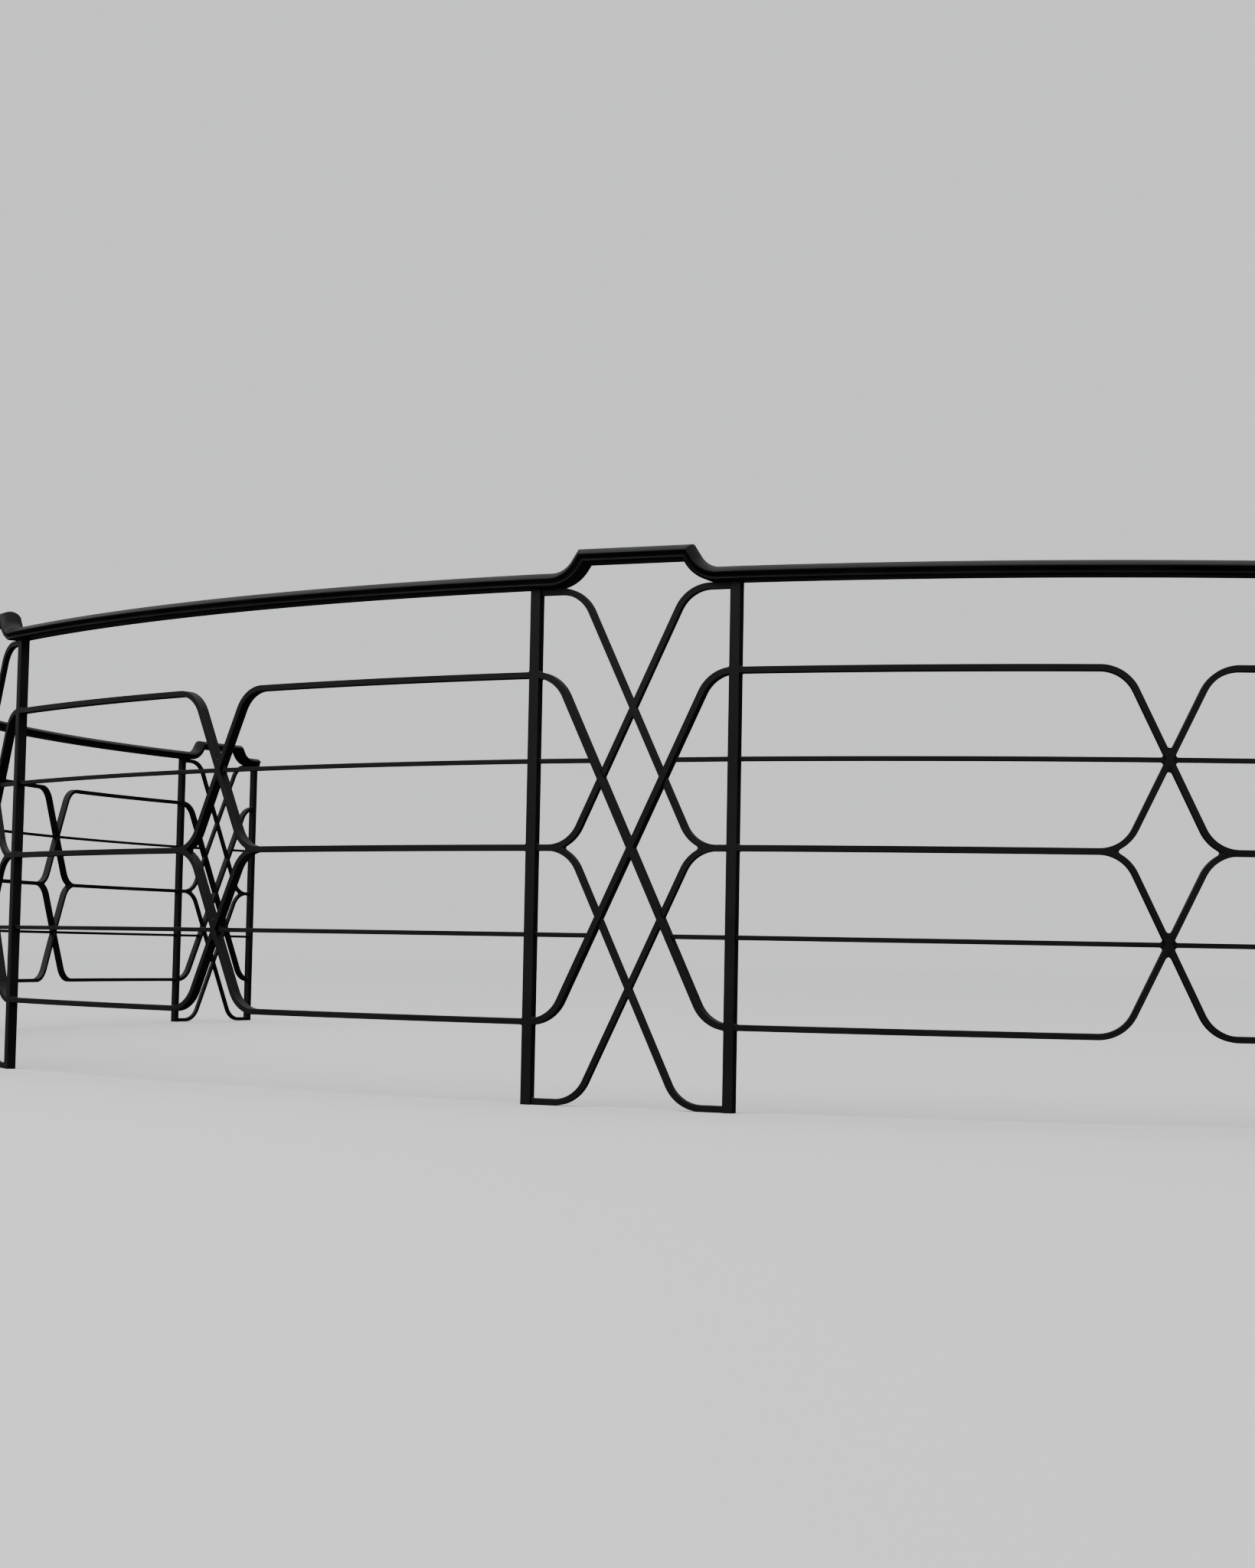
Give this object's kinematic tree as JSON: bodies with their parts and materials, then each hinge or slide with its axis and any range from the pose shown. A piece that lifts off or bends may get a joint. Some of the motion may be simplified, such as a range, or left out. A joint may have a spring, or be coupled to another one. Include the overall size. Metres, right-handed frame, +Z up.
{
  "type": "bowed iron balcony railing",
  "caption": "Bowed iron balcony railing: long bays of level bars with crossed bars at mid bay, between narrow pier panels under a stepped handrail.",
  "frame": {"origin": "on the floor, at the middle of the footprint's box: halfway between the two ends, and halfway from the front of the bow to its back", "axes": "+Z up, +X to the right as seen from outside, -Y out of the bow towards the viewer, +Y towards the house wall"},
  "size_m": [7.2492, 3.4541, 1.117],
  "materials": {
    "post_paint": "satin black paint on square iron posts, brushed on, slightly dusty",
    "bar_paint": "satin black paint on forged flat and square bars, with welded crossings",
    "thin_bar_paint": "satin black paint on thin square bars",
    "handrail_paint": "satin black paint, worn a little smoother on the crown"
  },
  "bodies": {
    "root": {"post_1_left": "post_paint", "post_2_left": "post_paint", "post_3_left": "post_paint", "post_4_left": "post_paint", "post_5_left": "post_paint", "post_6_left": "post_paint", "post_1_right": "post_paint", "post_2_right": "post_paint", "post_3_right": "post_paint", "post_4_right": "post_paint", "post_5_right": "post_paint", "post_6_right": "post_paint", "pier_scroll_1": "bar_paint", "pier_scroll_2": "bar_paint", "pier_scroll_3": "bar_paint", "pier_scroll_4": "bar_paint", "pier_scroll_5": "bar_paint", "pier_scroll_6": "bar_paint", "raised_handrail_1": "handrail_paint", "raised_handrail_2": "handrail_paint", "raised_handrail_3": "handrail_paint", "raised_handrail_4": "handrail_paint", "raised_handrail_5": "handrail_paint", "raised_handrail_6": "handrail_paint", "bay_scroll_1": "bar_paint", "bay_scroll_2": "bar_paint", "bay_scroll_3": "bar_paint", "bay_scroll_4": "bar_paint", "bay_scroll_5": "bar_paint", "bay_thin_rails_1": "thin_bar_paint", "bay_thin_rails_2": "thin_bar_paint", "bay_thin_rails_3": "thin_bar_paint", "bay_thin_rails_4": "thin_bar_paint", "bay_thin_rails_5": "thin_bar_paint", "bay_handrail_1": "handrail_paint", "bay_handrail_2": "handrail_paint", "bay_handrail_3": "handrail_paint", "bay_handrail_4": "handrail_paint", "bay_handrail_5": "handrail_paint"}
  },
  "joints": []
}
